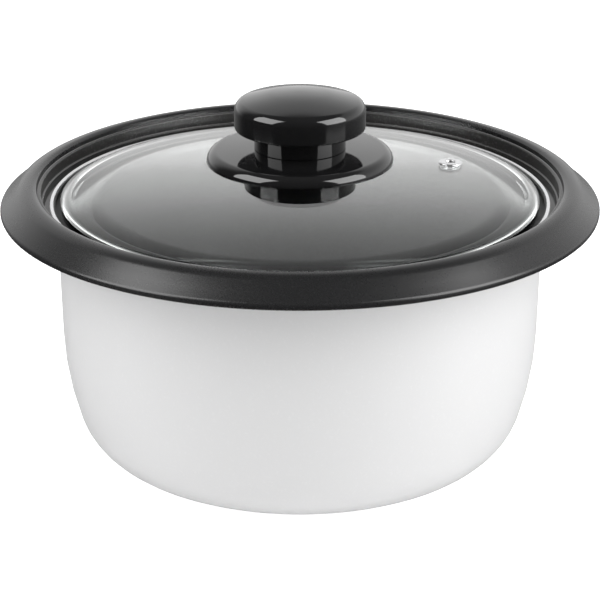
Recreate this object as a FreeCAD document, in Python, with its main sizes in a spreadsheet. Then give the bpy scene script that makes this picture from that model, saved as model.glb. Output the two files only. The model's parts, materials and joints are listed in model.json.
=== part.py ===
import FreeCAD, Part
import Sketcher
import math
import os
import re

# Small electric slow cooker, in millimetres.
# Origin: on the surface that the cooker stands on, on the axis of the bowl. +Z is up,
# -Y is the plain front and +Y is the back, where the controls and the mains inlet are.

LEFT = 1
RIGHT = -1

SIZES = {
    # levels, measured up from the surface
    "base_level": 1.5,
    "lip_level": 105.4,
    # outer housing, pressed from steel sheet
    "housing_wall": 0.8,
    "housing_flat": 64.6,
    "housing_hole": 44.0,
    "low_bend": 27.4,
    "high_bend": 123.0,
    "bend_switch": 72.3,
    "wall_draft": 1.3,
    # black collar with its drooping brim
    "brim_radius": 120.0,
    "bead_round": 1.8,
    "crest_radius": 107.7,
    "crest_height": 11.0,
    "crest_round": 8.0,
    "crest_inner_round": 3.5,
    "brim_angle": 40.5,
    "brim_hollow": 40.0,
    "collar_bore": 105.5,
    "collar_wall": 2.4,
    "shelf_bore": 90.5,
    "shelf_drop": 1.4,
    "shelf_thick": 2.6,
    "sleeve_bore": 97.8,
    "sleeve_drop": 6.8,
    # removable cooking pot
    "pot_radius": 86.2,
    "pot_wall": 2.0,
    "pot_floor": 3.0,
    "pot_bottom": 29.0,
    "pot_corner": 16.0,
    "pot_rim_radius": 105.2,
    "pot_rim_height": 9.0,
    "pot_bead": 0.8,
    "ledge_height": 3.9,
    "seat_radius": 102.9,
    "seat_height": 0.4,
    # heat well that the pot hangs in
    "well_radius": 87.4,
    "well_wall": 0.8,
    "well_floor": 28.0,
    "well_corner": 17.2,
    "flange_radius": 96.2,
    # heater wrapped round the well
    "heater_low": 46.0,
    "heater_high": 90.0,
    "mica_thick": 0.5,
    "winding_thick": 0.6,
    "clamp_low": 60.0,
    "clamp_high": 74.0,
    "blanket_radius": 91.6,
    "blanket_thick": 3.0,
    # glass lid
    "glass_top": 7.7,
    "glass_dome": 2250.0,
    "glass_thick": 3.4,
    "glass_radius": 98.0,
    "shoulder_radius": 90.3,
    "shoulder_round": 11.2,
    "shoulder_drop": 46.6,
    "glass_hole": 3.2,
    "band_radius": 100.3,
    "band_thick": 0.7,
    "band_top": 3.7,
    "band_lip": 97.9,
    "seal_inner": 95.6,
    "vent_across": 62.2,
    "vent_back": 33.7,
    "vent_hole": 2.0,
    "vent_tube": 2.8,
    "vent_flange": 5.0,
    # knob with finger guard, heights above the lip level
    "boss_low_radius": 22.4,
    "boss_radius": 23.85,
    "boss_step": 13.6,
    "guard_radius": 37.5,
    "guard_low": 18.9,
    "guard_edge": 0.3,
    "guard_round": 4.3,
    "guard_dome": 430.0,
    "guard_top": 24.4,
    "neck_radius": 18.3,
    "cap_low": 32.5,
    "cap_radius": 26.2,
    "cap_edge": 0.8,
    "cap_round": 4.1,
    "cap_dome": 78.5,
    "cap_top": 47.4,
    "insert_radius": 4.0,
    "insert_length": 11.0,
    "screw_radius": 2.0,
    "gasket_radius": 18.0,
    # base
    "plate_radius": 48.0,
    "plate_thick": 1.0,
    "stud_radius": 2.5,
    "foot_radius": 6.0,
    "stem_hole": 2.6,
    "foot_circle": 55.0,
    "base_screw_circle": 46.0,
    "collar_screw_circle": 93.4,
    # control pod at the back
    "pod_half_width": 46.0,
    "pod_low": 14.0,
    "pod_high": 64.0,
    "pod_face": 108.0,
    "pod_wall": 2.0,
    "pod_round": 7.0,
    "selector_across": 22.0,
    "selector_up": 40.0,
    "spindle_radius": 3.0,
    "dial_radius": 15.0,
    "dial_front": 119.0,
    "switch_size": 22.0,
    "switch_back": 93.5,
    "lamp_up": 54.0,
    "lens_radius": 3.5,
    "inlet_across": 24.0,
    "inlet_up": 31.0,
    "inlet_width": 27.4,
    "inlet_height": 20.4,
    "socket_width": 24.2,
    "socket_height": 16.4,
    "socket_depth": 15.0,
    "inlet_back": 91.5,
    "wire_radius": 1.1,
}

doc = FreeCAD.newDocument("slow_cooker")
sheet = doc.addObject("Spreadsheet::Sheet", "dims")
for row, (name, number) in enumerate(SIZES.items(), start=1):
    sheet.set("A%d" % row, name)
    sheet.set("B%d" % row, str(number))
    sheet.setAlias("B%d" % row, name)
doc.recompute()

subparts = []


# ---------------------------------------------------------------- helpers

def bound(formula):
    """The formula with each size's name pointed at its cell of the sheet."""
    words = re.split(r"(\w+)", formula)
    return "".join("dims." + word if word in SIZES else word for word in words)


def worth(formula):
    """Number that a formula of sheet sizes comes to."""
    result = sheet.evalExpression(bound(formula))
    return float(getattr(result, "Value", result))


def above_lip(formula):
    """Height given from the brim's lowest edge, as a height above the surface."""
    return "lip_level + (%s)" % formula


def keep(piece, label):
    """Name an object as one of the cooker's sub-parts."""
    piece.Label = label
    subparts.append(piece)


def origin_plane(body, role):
    return [item for item in body.Origin.OriginFeatures if item.Role == role][0]


def new_sketch(body, role, name):
    sketch = body.newObject("Sketcher::SketchObject", name)
    sketch.AttachmentSupport = [(origin_plane(body, role), "")]
    sketch.MapMode = "FlatFace"
    return sketch


def arc_between(start, end, radius, side):
    """Arc from start to end that turns LEFT or RIGHT as it is travelled."""
    chord = end - start
    height = math.sqrt(max(radius ** 2 - (chord.Length / 2) ** 2, 0.0))
    leftward = FreeCAD.Vector(-chord.y, chord.x, 0).normalize()
    centre = (start + end) * 0.5 + leftward * height * side
    first, last = (start, end) if side == LEFT else (end, start)
    angles = [math.atan2(p.y - centre.y, p.x - centre.x) for p in (first, last)]
    circle = Part.Circle(centre, FreeCAD.Vector(0, 0, 1), radius)
    return Part.ArcOfCircle(circle, angles[0], angles[1])


def draw_outline(sketch, corners):
    """Close an outline through corners of (across, up), each a formula. A corner of
    (across, up, side, radius) leads on to the next one along an arc."""
    points = [FreeCAD.Vector(worth(c[0]), worth(c[1]), 0) for c in corners]
    ends = []
    for index, corner in enumerate(corners):
        start = points[index]
        end = points[(index + 1) % len(points)]
        if len(corner) == 2:
            sketch.addGeometry(Part.LineSegment(start, end))
            ends.append((1, 2))
        else:
            sketch.addGeometry(arc_between(start, end, worth(corner[3]), corner[2]))
            ends.append((1, 2) if corner[2] == LEFT else (2, 1))
            radius = Sketcher.Constraint("Radius", index, worth(corner[3]))
            number = sketch.addConstraint(radius)
            sketch.setExpression("Constraints[%d]" % number, bound(corner[3]))
    for index, corner in enumerate(corners):
        following = (index + 1) % len(corners)
        sketch.addConstraint(Sketcher.Constraint(
            "Coincident", index, ends[index][1], following, ends[following][0]))
        fix_point(sketch, index, ends[index][0], corner[0], corner[1])


def fix_point(sketch, item, end, across, up):
    """Hold one end of a sketch item at a place given by two formulas."""
    for kind, axis, formula in (("DistanceX", -2, across), ("DistanceY", -1, up)):
        number = worth(formula)
        if abs(number) < 1e-9:
            sketch.addConstraint(Sketcher.Constraint("PointOnObject", item, end, axis))
        else:
            added = sketch.addConstraint(Sketcher.Constraint(kind, -1, 1, item, end, number))
            sketch.setExpression("Constraints[%d]" % added, bound(formula))


def turned(label, corners):
    """Body turned about its own Z axis from an outline of (radius, height) corners."""
    body = doc.addObject("PartDesign::Body", label)
    sketch = new_sketch(body, "XZ_Plane", label + "_outline")
    draw_outline(sketch, corners)
    turn = body.newObject("PartDesign::Revolution", label + "_turned")
    turn.Profile = sketch
    turn.ReferenceAxis = (sketch, ["V_Axis"])
    turn.Angle = 360
    sketch.Visibility = False
    return body


def disc(label, radius, low, high, bore="0"):
    """Plain disc, ring or sleeve round the Z axis."""
    return turned(label, [(bore, low), (radius, low), (radius, high), (bore, high)])


def drilled(body, radius, places, cut_level):
    """Round holes through a body, up and down from a level, parallel to its Z axis."""
    sketch = new_sketch(body, "XY_Plane", body.Name + "_holes")
    for across, along in places:
        centre = FreeCAD.Vector(worth(across), worth(along), 0)
        circle = Part.Circle(centre, FreeCAD.Vector(0, 0, 1), worth(radius))
        item = sketch.addGeometry(circle)
        number = sketch.addConstraint(Sketcher.Constraint("Radius", item, worth(radius)))
        sketch.setExpression("Constraints[%d]" % number, bound(radius))
        fix_point(sketch, item, 3, across, along)
    sketch.AttachmentOffset = FreeCAD.Placement(FreeCAD.Vector(0, 0, worth(cut_level)),
                                                FreeCAD.Rotation())
    sketch.setExpression("AttachmentOffset.Base.z", bound(cut_level))
    return sketch


def hole_through(body, radius, places, level, depth):
    """Cut round holes downwards from a level by a depth, and check that they cut."""
    doc.recompute()
    before = body.Shape.Volume
    sketch = drilled(body, radius, places, level)
    pocket = body.newObject("PartDesign::Pocket", body.Name + "_drilling")
    pocket.Profile = sketch
    pocket.Length = worth(depth)
    pocket.setExpression("Length", bound(depth))
    sketch.Visibility = False
    doc.recompute()
    if body.Shape.Volume > before - 0.01:
        raise RuntimeError("the holes cut nothing from " + body.Label)


def placed(piece, across, along, up, rotation=FreeCAD.Rotation()):
    """Move an object to a place given by three formulas, with an optional turn."""
    base = FreeCAD.Vector(worth(across), worth(along), worth(up))
    piece.Placement = FreeCAD.Placement(base, rotation)
    for axis, formula in (("x", across), ("y", along), ("z", up)):
        piece.setExpression("Placement.Base." + axis, bound(formula))
    return piece


def block(label, width, depth, height, across, along, up):
    """Box centred across X, from a place on Y and Z."""
    piece = doc.addObject("Part::Box", label)
    for name, formula in (("Length", width), ("Width", depth), ("Height", height)):
        setattr(piece, name, worth(formula))
        piece.setExpression(name, bound(formula))
    return placed(piece, "(%s) - (%s) / 2" % (across, width), along, up)


def rod(label, radius, length, across, along, up, rotation=FreeCAD.Rotation()):
    """Cylinder that starts at a place and runs along its own turned Z axis."""
    piece = doc.addObject("Part::Cylinder", label)
    piece.Radius = worth(radius)
    piece.setExpression("Radius", bound(radius))
    piece.Height = worth(length)
    piece.setExpression("Height", bound(length))
    return placed(piece, across, along, up, rotation)


def joined(label, pieces):
    fused = doc.addObject("Part::MultiFuse", label)
    fused.Shapes = pieces
    return fused


def group(label, pieces):
    """Separate solids that share one name, such as a set of screws."""
    together = doc.addObject("Part::Compound", label)
    together.Links = pieces
    return together


def less(label, piece, tools):
    """The piece with one or more tools cut away, checked by volume."""
    doc.recompute()
    before = piece.Shape.Volume
    cut = doc.addObject("Part::Cut", label)
    cut.Base = piece
    cut.Tool = tools[0] if len(tools) == 1 else joined(label + "_cutters", tools)
    doc.recompute()
    if cut.Shape.Volume > before - 0.01:
        raise RuntimeError("nothing was cut from " + label)
    return cut


def round_edges(label, piece, radius, chosen):
    """Fillet the edges of a piece that the chosen test accepts."""
    doc.recompute()
    rounded = doc.addObject("Part::Fillet", label)
    rounded.Base = piece
    size = worth(radius)
    picked = [n for n, edge in enumerate(piece.Shape.Edges, start=1) if chosen(edge)]
    rounded.Edges = [(n, size, size) for n in picked]
    return rounded


# Z axis of a piece turned to point backwards, along +Y
BACKWARDS = FreeCAD.Rotation(FreeCAD.Vector(1, 0, 0), -90)
# Z axis of a piece turned to point forwards, along -Y
FORWARDS = FreeCAD.Rotation(FreeCAD.Vector(1, 0, 0), 90)


def around(count, first_angle=0.0):
    """Evenly spread angles, in degrees."""
    return [first_angle + 360.0 * n / count for n in range(count)]


def circle_places(radius, angles):
    """Places on a circle as pairs of formulas."""
    return [("%s * cos(%g)" % (radius, a), "%s * sin(%g)" % (radius, a)) for a in angles]


# ---------------------------------------------------------------- bowl outline

def bowl_side(depth_in, top):
    """Side of the bowl from its flat base to a level, a depth inside the outer surface:
    a tight bend, a long gentle bend and a straight wall with a little draft."""
    low = "(low_bend - (%s))" % depth_in
    high = "(high_bend - (%s))" % depth_in
    low_up = "(base_level + low_bend)"
    high_across = "(housing_flat - (high_bend - low_bend) * sin(bend_switch))"
    high_up = "(%s + (high_bend - low_bend) * cos(bend_switch))" % low_up
    end = "(90 - wall_draft)"
    end_across = "(%s + %s * sin(%s))" % (high_across, high, end)
    end_up = "(%s - %s * cos(%s))" % (high_up, high, end)
    return {
        "flat": ("housing_flat", "base_level + (%s)" % depth_in),
        "bend": ("housing_flat + %s * sin(bend_switch)" % low,
                 "%s - %s * cos(bend_switch)" % (low_up, low)),
        "wall": (end_across, end_up),
        "top": ("%s + tan(wall_draft) * ((%s) - %s)" % (end_across, top, end_up), top),
        "low": low,
        "high": high,
    }


def bowl_solid(label, depth_in, top):
    """Solid bowl, used to trim what meets the housing."""
    side = bowl_side(depth_in, top)
    return turned(label, [
        ("0", side["flat"][1]),
        side["flat"] + (LEFT, side["low"]),
        side["bend"] + (LEFT, side["high"]),
        side["wall"],
        side["top"],
        ("0", top),
    ])


# ---------------------------------------------------------------- housing

def make_outer_housing():
    top = above_lip("0 - shelf_drop - shelf_thick")
    outer = bowl_side("0", top)
    inner = bowl_side("housing_wall", top)
    shell = turned("housing_shell", [
        ("housing_hole", "base_level"),
        outer["flat"] + (LEFT, outer["low"]),
        outer["bend"] + (LEFT, outer["high"]),
        outer["wall"],
        outer["top"],
        inner["top"],
        inner["wall"] + (RIGHT, inner["high"]),
        inner["bend"] + (RIGHT, inner["low"]),
        inner["flat"],
        ("housing_hole", "base_level + housing_wall"),
    ])
    hole_through(shell, "stem_hole", circle_places("foot_circle", around(4, 45)),
                 "base_level + 2", "4")
    hole_through(shell, "stem_hole / 2", circle_places("base_screw_circle", around(3, 90)),
                 "base_level + 2", "4")
    window = block("housing_window", "2 * (pod_half_width - 4)", "60", "pod_high - pod_low - 6",
                   "0", "60", "pod_low + 3")
    keep(less("outer_housing", shell, [window]), "outer_housing")


def make_support_ring():
    """Ring that the pot's rim rests on, with a spigot that fits the housing's mouth."""
    outside = "(collar_bore + collar_wall)"
    shelf_low = above_lip("0 - shelf_drop - shelf_thick")
    ring = turned("support_ring", [
        ("shelf_bore", shelf_low),
        ("sleeve_bore", shelf_low),
        ("sleeve_bore", above_lip("0 - sleeve_drop")),
        ("sleeve_bore + collar_wall", above_lip("0 - sleeve_drop")),
        (outside, above_lip("0 - collar_wall")),
        (outside, above_lip("0 - shelf_drop")),
        ("shelf_bore", above_lip("0 - shelf_drop")),
    ])
    hole_through(ring, "screw_radius * 0.6",
                 circle_places("collar_screw_circle", around(4, 45)),
                 above_lip("0 - shelf_drop - shelf_thick / 4"), "shelf_thick")
    keep(ring, "support_ring")


def make_rim_collar():
    """Collar round the pot's rim, with the drooping brim; it stands on the support ring."""
    outside = "(collar_bore + collar_wall)"
    bead_across = "(brim_radius - bead_round)"
    crest_centre = "(crest_height - crest_round)"
    inner_centre = "(crest_height - crest_inner_round)"
    reach = "(crest_radius - collar_bore)"
    keep(turned("rim_collar", [
        ("collar_bore", above_lip("0 - shelf_drop")),
        (outside, above_lip("0 - shelf_drop")),
        (outside, above_lip("crest_height / 2 + 0.5")),
        ("crest_radius + 3.1", above_lip("crest_height / 2 + 0.5")),
        (bead_across + " + bead_round * cos(200)",
         above_lip("bead_round + bead_round * sin(200)"), LEFT, "bead_round"),
        (bead_across, "lip_level", LEFT, "bead_round"),
        ("brim_radius", above_lip("bead_round"), LEFT, "bead_round"),
        (bead_across + " + bead_round * cos(50)",
         above_lip("bead_round + bead_round * sin(50)"), RIGHT, "brim_hollow"),
        ("crest_radius + crest_round * sin(brim_angle)",
         above_lip(crest_centre + " + crest_round * cos(brim_angle)"), LEFT, "crest_round"),
        ("crest_radius", above_lip("crest_height"), LEFT, "crest_inner_round"),
        ("collar_bore",
         above_lip(inner_centre + " + sqrt(crest_inner_round ^ 2 - %s ^ 2)" % reach)),
    ]), "rim_collar")


def make_heat_well():
    outer = "(well_radius + well_wall)"
    corner_across = "(well_radius - well_corner)"
    corner_up = "(well_floor + well_corner)"
    flange = above_lip("0 - shelf_drop - shelf_thick")
    well = turned("heat_well", [
        ("0", "well_floor - well_wall"),
        (corner_across, "well_floor - well_wall", LEFT, "well_corner + well_wall"),
        (outer, corner_up),
        (outer, flange + " - well_wall"),
        ("flange_radius", flange + " - well_wall"),
        ("flange_radius", flange),
        ("well_radius", flange),
        ("well_radius", corner_up, RIGHT, "well_corner"),
        (corner_across, "well_floor"),
        ("0", "well_floor"),
    ])
    hole_through(well, "screw_radius * 0.7",
                 circle_places("collar_screw_circle", around(4, 45)), flange + " + 1", "3")
    keep(well, "heat_well")


def make_heater():
    inner = "(well_radius + well_wall + 0.1)"
    winding = "(%s + mica_thick + 0.1)" % inner
    outer = "(%s + winding_thick + 0.1)" % winding
    clamp = "(%s + mica_thick + 0.1)" % outer
    keep(disc("heater_mica_inner", inner + " + mica_thick", "heater_low", "heater_high", inner),
         "heater_mica_inner")
    keep(disc("heater_winding", winding + " + winding_thick", "heater_low + 3",
              "heater_high - 3", winding), "heater_winding")
    keep(disc("heater_mica_outer", outer + " + mica_thick", "heater_low", "heater_high", outer),
         "heater_mica_outer")
    strap = disc("clamp_strap", clamp + " + mica_thick", "clamp_low", "clamp_high", clamp)
    height = "(clamp_high - clamp_low)"
    slit = block("clamp_slit", "12", "4", height + " + 2", "0 - well_radius - 3", "0 - 2",
                 "clamp_low - 1")
    ears = [block("clamp_ear_%d" % n, "3.2", "0.8", height, "0 - %s - 1.7" % clamp,
                  place, "clamp_low") for n, place in enumerate(("0 - 2.8", "2"), start=1)]
    bolt_up = "(clamp_low + clamp_high) / 2"
    bolt_across = "0 - %s - 2.3" % clamp
    opening = rod("clamp_bolt_hole", "1.05", "10", bolt_across, "0 - 5", bolt_up, BACKWARDS)
    open_strap = less("clamp_open_strap", strap, [slit])
    keep(less("heater_clamp", joined("clamp_with_ears", [open_strap] + ears), [opening]),
         "heater_clamp")
    shank = rod("clamp_bolt_shank", "1.0", "7.4", bolt_across, "0 - 2.8 - 0.05", bolt_up,
                BACKWARDS)
    head = rod("clamp_bolt_head", "1.5", "1.5", bolt_across, "0 - 2.8 - 1.55", bolt_up,
               BACKWARDS)
    keep(joined("clamp_screw", [shank, head]), "clamp_screw")


def make_blanket():
    wrap = disc("blanket_wrap", "blanket_radius + blanket_thick", "heater_low - 4",
                "heater_high", "blanket_radius")
    back = block("blanket_back_gap", "2 * pod_half_width", "60", "60", "0", "50",
                 "heater_low - 6")
    side = block("blanket_side_gap", "20", "14", "60", "0 - blanket_radius", "0 - 7",
                 "heater_low - 6")
    keep(less("insulation_blanket", wrap, [back, side]), "insulation_blanket")


def make_base():
    level = "(base_level + housing_wall)"
    plate = disc("base_plate", "plate_radius", level, level + " + plate_thick",
                 "stud_radius + 0.2")
    hole_through(plate, "stem_hole / 2", circle_places("base_screw_circle", around(3, 90)),
                 level + " + 3", "6")
    keep(plate, "base_plate")
    stud_top = "(well_floor - well_wall)"
    keep(disc("centre_stud", "stud_radius", "base_level - 0.9", stud_top), "centre_stud")
    washer_low = level + " + plate_thick"
    keep(disc("stud_washer", "2 * stud_radius", washer_low, washer_low + " + 0.8",
              "stud_radius + 0.1"), "stud_washer")
    nut = hexagon("nut_blank", "1.6 * stud_radius", level + " - 2", "2")
    bore = rod("nut_bore", "stud_radius + 0.05", "6", "0", "0", "0 - 1")
    keep(less("stud_nut", nut, [bore]), "stud_nut")
    for number, angle in enumerate(around(4, 45), start=1):
        foot = turned("rubber_foot_%d" % number, [
            ("0", "0"),
            ("foot_radius - 0.5", "0"),
            ("foot_radius", "0.5"),
            ("foot_radius", "base_level"),
            ("stem_hole - 0.15", "base_level"),
            ("stem_hole - 0.15", level + " + 0.1"),
            ("stem_hole + 0.6", level + " + 0.1"),
            ("stem_hole - 0.4", level + " + 1.6"),
            ("0", level + " + 1.6"),
        ])
        placed(foot, "foot_circle * cos(%g)" % angle, "foot_circle * sin(%g)" % angle, "0")
        keep(foot, foot.Name)
    screws = [screw("base_screw_%d" % n, "stem_hole", "base_level", "stem_hole / 2 - 0.1", "3.6",
                    place) for n, place in
              enumerate(circle_places("base_screw_circle", around(3, 90)), start=1)]
    keep(group("base_screws", screws), "base_screws")
    flange_low = above_lip("0 - shelf_drop - shelf_thick - well_wall")
    screws = [screw("collar_screw_%d" % n, "screw_radius", flange_low, "screw_radius * 0.55",
                    "well_wall + shelf_thick * 0.7", place) for n, place in
              enumerate(circle_places("collar_screw_circle", around(4, 45)), start=1)]
    keep(group("collar_screws", screws), "collar_screws")


def screw(label, head_radius, seat, shank_radius, length, place):
    """Screw that points up, with the top of its flat head on the seat level."""
    piece = turned(label, [
        ("0", "0 - 1.2"),
        (head_radius + " * 0.7", "0 - 1.2"),
        (head_radius, "0 - 0.6"),
        (head_radius, "0"),
        (shank_radius, "0"),
        (shank_radius, length),
        ("0", length),
    ])
    return placed(piece, place[0], place[1], seat)


def hexagon(label, radius, low, height):
    """Hexagonal prism round the Z axis."""
    body = doc.addObject("PartDesign::Body", label)
    sketch = new_sketch(body, "XY_Plane", label + "_outline")
    corners = [("(%s) * cos(%g)" % (radius, a), "(%s) * sin(%g)" % (radius, a))
               for a in around(6)]
    draw_outline(sketch, corners)
    pad = body.newObject("PartDesign::Pad", label + "_height")
    pad.Profile = sketch
    pad.Length = worth(height)
    pad.setExpression("Length", bound(height))
    return placed(body, "0", "0", low)


# ---------------------------------------------------------------- pot and lid

def make_cooking_pot():
    inner = "(pot_radius - pot_wall)"
    corner_across = "(pot_radius - pot_corner)"
    corner_up = "(pot_bottom + pot_corner)"
    inner_corner = "(pot_corner - pot_floor)"
    bead_across = "(pot_rim_radius - pot_bead)"
    bead_up = "(pot_rim_height - pot_bead)"
    rim_inner = "(pot_rim_radius - 2 * pot_bead)"
    pot = turned("cooking_pot", [
        ("0", "pot_bottom"),
        (corner_across, "pot_bottom", LEFT, "pot_corner"),
        ("pot_radius", corner_up),
        ("pot_radius", above_lip("0 - shelf_drop - 3"), RIGHT, "3"),
        ("pot_radius + 3", above_lip("0 - shelf_drop")),
        ("pot_rim_radius - 1.4", above_lip("0 - shelf_drop")),
        ("pot_rim_radius", above_lip("0")),
        ("pot_rim_radius", above_lip(bead_up), LEFT, "pot_bead"),
        (bead_across, above_lip("pot_rim_height"), LEFT, "pot_bead"),
        (rim_inner, above_lip(bead_up)),
        (rim_inner, above_lip("ledge_height + 0.6"), RIGHT, "0.6"),
        (rim_inner + " - 0.6", above_lip("ledge_height")),
        ("seat_radius", above_lip("ledge_height - 0.1")),
        ("seat_radius", above_lip("seat_height + 0.8"), RIGHT, "0.8"),
        ("seat_radius - 0.8", above_lip("seat_height")),
        (inner + " + 3", above_lip("seat_height"), LEFT, "3"),
        (inner, above_lip("seat_height - 3")),
        (inner, "pot_bottom + pot_floor + " + inner_corner, RIGHT, inner_corner),
        (inner + " - " + inner_corner, "pot_bottom + pot_floor"),
        ("0", "pot_bottom + pot_floor"),
    ])
    keep(pot, "cooking_pot")


def glass_height(radius):
    """Height of the lid's top surface above the lip at a radius."""
    return "glass_top - glass_dome + sqrt(glass_dome ^ 2 - (%s) ^ 2)" % radius


def make_lid_glass():
    edge_up = glass_height("shoulder_radius") + " - 3.5"
    under = "(glass_dome - glass_thick)"
    turn_up = "glass_top - glass_dome + sqrt(%s ^ 2 - (shoulder_radius - 2) ^ 2)" % under
    glass = turned("lid_glass", [
        ("glass_hole", above_lip(
            "glass_top - glass_dome + sqrt(%s ^ 2 - glass_hole ^ 2)" % under), RIGHT, under),
        ("shoulder_radius - 2", above_lip(turn_up)),
        ("seal_inner - 1.6", above_lip("seat_height + 0.8")),
        ("glass_radius", above_lip("seat_height + 0.8")),
        ("glass_radius", above_lip(edge_up), LEFT, "shoulder_round"),
        ("shoulder_radius", above_lip(glass_height("shoulder_radius")), LEFT, "glass_dome"),
        ("glass_hole", above_lip(glass_height("glass_hole"))),
    ])
    hole_through(glass, "vent_tube + 0.2", [("vent_across", "vent_back")],
                 above_lip("glass_top + 2"), "12")
    keep(glass, "lid_glass")


def make_lid_band():
    inside = "(band_radius - band_thick)"
    low = above_lip("seat_height")
    keep(turned("lid_band", [
        (inside, low),
        ("band_radius - 0.2", low),
        ("band_radius", low + " + 0.2"),
        ("band_radius", above_lip("band_top - 0.9"), LEFT, "0.9"),
        ("band_radius - 0.9", above_lip("band_top")),
        ("band_lip + 0.35", above_lip("band_top - 0.1"), LEFT, "0.35"),
        ("band_lip", above_lip("band_top - 0.45")),
        ("band_lip", above_lip("band_top - band_thick")),
        (inside, above_lip("band_top - band_thick")),
    ]), "lid_band")
    keep(turned("band_seal", [
        ("seal_inner", low),
        (inside + " - 0.05", low),
        (inside + " - 0.05", above_lip("band_top - band_thick - 0.05")),
        ("glass_radius + 0.1", above_lip("band_top - band_thick - 0.05")),
        ("glass_radius + 0.1", low + " + 0.7"),
        ("seal_inner", low + " + 0.7"),
    ]), "band_seal")


def make_vent_grommet():
    distance = math.hypot(worth("vent_across"), worth("vent_back"))
    lean = math.degrees(math.asin(distance / worth("glass_dome")))
    axis = FreeCAD.Vector(-worth("vent_back"), worth("vent_across"), 0)
    eyelet = turned("vent_grommet", [
        ("vent_hole", "0 - glass_thick - 0.9"),
        ("vent_flange - 0.8", "0 - glass_thick - 0.9"),
        ("vent_flange - 0.8", "0 - glass_thick - 0.1"),
        ("vent_tube", "0 - glass_thick - 0.1"),
        ("vent_tube", "0.05"),
        ("vent_flange", "0.05"),
        ("vent_flange", "0.35", LEFT, "0.6"),
        ("vent_flange - 0.6", "0.95"),
        ("vent_hole + 0.6", "0.95", LEFT, "0.6"),
        ("vent_hole", "0.35"),
    ])
    rise = glass_height("sqrt(vent_across ^ 2 + vent_back ^ 2)")
    placed(eyelet, "vent_across", "vent_back", above_lip(rise), FreeCAD.Rotation(axis, lean))
    keep(eyelet, "vent_grommet")


def make_knob():
    seat = "(glass_top + 0.05)"
    recess = "(glass_top + 0.85)"
    rim_up = "(guard_low + guard_edge + guard_round)"
    keep(turned("knob_guard", [
        ("screw_radius + 0.3", above_lip(recess)),
        ("gasket_radius + 0.3", above_lip(recess)),
        ("gasket_radius + 0.3", above_lip(seat)),
        ("boss_low_radius", above_lip(seat)),
        ("boss_low_radius", above_lip("boss_step - 0.4")),
        ("boss_radius", above_lip("boss_step")),
        ("boss_radius", above_lip("guard_low")),
        ("guard_radius - guard_edge", above_lip("guard_low"), LEFT, "guard_edge"),
        ("guard_radius", above_lip("guard_low + guard_edge"), LEFT, "guard_round"),
        ("guard_radius - guard_round", above_lip(rim_up), LEFT, "guard_dome"),
        ("neck_radius + 0.2", above_lip("guard_top")),
        ("screw_radius + 0.3", above_lip("guard_top")),
    ]), "knob_guard")
    dome_centre = "(cap_top - cap_dome)"
    corner_across = "(cap_radius - cap_round)"
    rise = "sqrt((cap_dome - cap_round) ^ 2 - %s ^ 2)" % corner_across
    share = "(cap_dome / (cap_dome - cap_round))"
    keep(turned("knob_grip", [
        ("insert_radius", above_lip("guard_top")),
        ("neck_radius", above_lip("guard_top")),
        ("neck_radius", above_lip("cap_low - 0.8"), RIGHT, "0.8"),
        ("neck_radius + 0.8", above_lip("cap_low")),
        ("cap_radius - cap_edge", above_lip("cap_low"), LEFT, "cap_edge"),
        ("cap_radius", above_lip("cap_low + cap_edge")),
        ("cap_radius", above_lip("%s + %s" % (dome_centre, rise)), LEFT, "cap_round"),
        ("%s * %s" % (corner_across, share),
         above_lip("%s + %s * %s" % (dome_centre, rise, share)), LEFT, "cap_dome"),
        ("0", above_lip("cap_top")),
        ("0", above_lip("guard_top + insert_length")),
        ("insert_radius", above_lip("guard_top + insert_length")),
    ]), "knob_grip")
    keep(disc("knob_insert", "insert_radius - 0.02", above_lip("guard_top + 0.02"),
              above_lip("guard_top + insert_length - 0.1"), "screw_radius + 0.02"),
         "knob_insert")
    under = "(glass_top - glass_thick)"
    keep(disc("lid_gasket_upper", "gasket_radius", above_lip("glass_top + 0.05"),
              above_lip("glass_top + 0.8"), "screw_radius + 0.3"), "lid_gasket_upper")
    keep(disc("lid_gasket_lower", "gasket_radius * 0.6", above_lip(under + " - 1.3"),
              above_lip(under + " - 0.05"), "screw_radius + 0.3"), "lid_gasket_lower")
    keep(disc("knob_washer", "gasket_radius * 0.55", above_lip(under + " - 2.3"),
              above_lip(under + " - 1.3"), "screw_radius + 0.2"), "knob_washer")
    keep(turned("knob_screw", [
        ("0", above_lip(under + " - 4.7")),
        ("2 * screw_radius", above_lip(under + " - 4.7"), LEFT, "1"),
        ("2 * screw_radius + 1", above_lip(under + " - 3.7")),
        ("2 * screw_radius + 1", above_lip(under + " - 2.3")),
        ("screw_radius", above_lip(under + " - 2.3")),
        ("screw_radius", above_lip("guard_top + insert_length - 2")),
        ("0", above_lip("guard_top + insert_length - 2")),
    ]), "knob_screw")


# ---------------------------------------------------------------- controls at the back

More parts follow.
